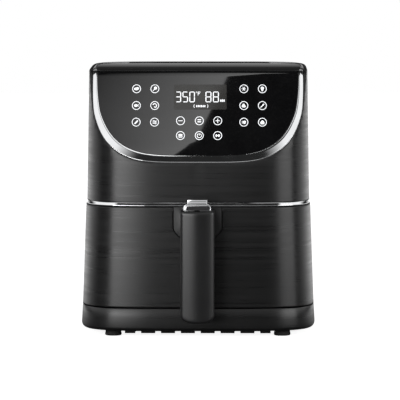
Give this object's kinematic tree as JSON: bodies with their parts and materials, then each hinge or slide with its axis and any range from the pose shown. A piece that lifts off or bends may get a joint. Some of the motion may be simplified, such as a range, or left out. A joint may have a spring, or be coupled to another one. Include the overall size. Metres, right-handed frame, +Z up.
{
  "type": "air fryer",
  "caption": "Drawer air fryer: sloped touch panel in a bright trim ring, pull-out pan with a perforated basket, and a handle with a guarded release button.",
  "frame": {"origin": "under the middle of the whole object's box, on the surface that the feet stand on", "axes": "+Z up; the drawer, handle and panel face -Y; +X is the object's right hand side seen from the front"},
  "size_m": [0.285, 0.358, 0.32],
  "materials": {
    "satin_black": "satin moulded plastic with a fine horizontal brushed grain",
    "gloss_black": "gloss",
    "matt_black": "fine matt texture",
    "chrome": "bright plated",
    "silver": "silver plated gloss",
    "coated_steel": "dark non-stick coating",
    "bright_steel": "bright pressed steel",
    "dark_metal": "heat darkened",
    "rubber": "matt",
    "circuit_board": "solder mask"
  },
  "bodies": {
    "housing": {"base_tray": "satin_black", "base_plate": "matt_black", "foot_front_left": "rubber", "foot_front_right": "rubber", "foot_rear_left": "rubber", "foot_rear_right": "rubber", "main_shell": "satin_black", "panel_trim": "chrome", "control_panel": "gloss_black", "top_cover": "gloss_black", "waist_strip": "chrome", "drawer_rail_left": "matt_black", "drawer_rail_right": "matt_black", "inner_chamber": "bright_steel", "heater_element": "dark_metal", "heater_clip_1": "bright_steel", "heater_clip_2": "bright_steel", "heater_clip_3": "bright_steel", "heat_shield": "bright_steel", "temperature_sensor": "bright_steel", "motor_mount": "dark_metal", "fan_motor": "dark_metal", "drawer_switch": "matt_black", "control_board": "circuit_board", "display_module": "matt_black", "power_board": "circuit_board", "rear_grille": "matt_black", "cord_gland": "rubber"},
    "fan_rotor": {"hot_air_fan": "bright_steel", "cooling_fan": "matt_black", "fan_nut": "bright_steel", "motor_shaft": "bright_steel"},
    "drawer": {"drawer_front": "satin_black", "drawer_pan": "coated_steel", "basket": "coated_steel", "basket_bumper_front_left": "rubber", "basket_bumper_front_right": "rubber", "basket_bumper_rear_left": "rubber", "basket_bumper_rear_right": "rubber", "drawer_rim": "matt_black", "handle_grip": "satin_black", "handle_back": "satin_black", "handle_screw_upper": "bright_steel", "handle_screw_lower": "bright_steel", "handle_bracket": "satin_black", "latch_pin": "bright_steel", "button_spring": "bright_steel"},
    "guard": {"button_guard": "silver"},
    "button": {"release_button": "silver"},
    "latch": {"latch_lever": "dark_metal"}
  },
  "joints": [
    {"name": "fan_spin", "type": "hinge", "parent": "housing", "child": "fan_rotor", "pos_m": [0, 0.007, 0.21], "axis": [0, 0, 1], "continuous": true},
    {"name": "drawer_slide", "type": "slide", "parent": "housing", "child": "drawer", "axis": [0, -1, 0], "range_m": [0, 0.27]},
    {"name": "guard_slide", "type": "slide", "parent": "drawer", "child": "guard", "axis": [0, -1, 0], "range_m": [0, 0.01]},
    {"name": "button_press", "type": "slide", "parent": "drawer", "child": "button", "axis": [0, 0, -1], "range_m": [0, 0.003], "stiffness_N_per_m": 300, "springref_m": -0.004, "deforming": ["button_spring"]},
    {"name": "latch_pivot", "type": "hinge", "parent": "drawer", "child": "latch", "pos_m": [0, -0.1379, 0.1386], "axis": [1, 0, 0], "range_deg": [0, 12.7]}
  ],
  "couplings": [
    {"joint": "latch_pivot", "follows": "button_press", "rad_per_m": 73}
  ]
}
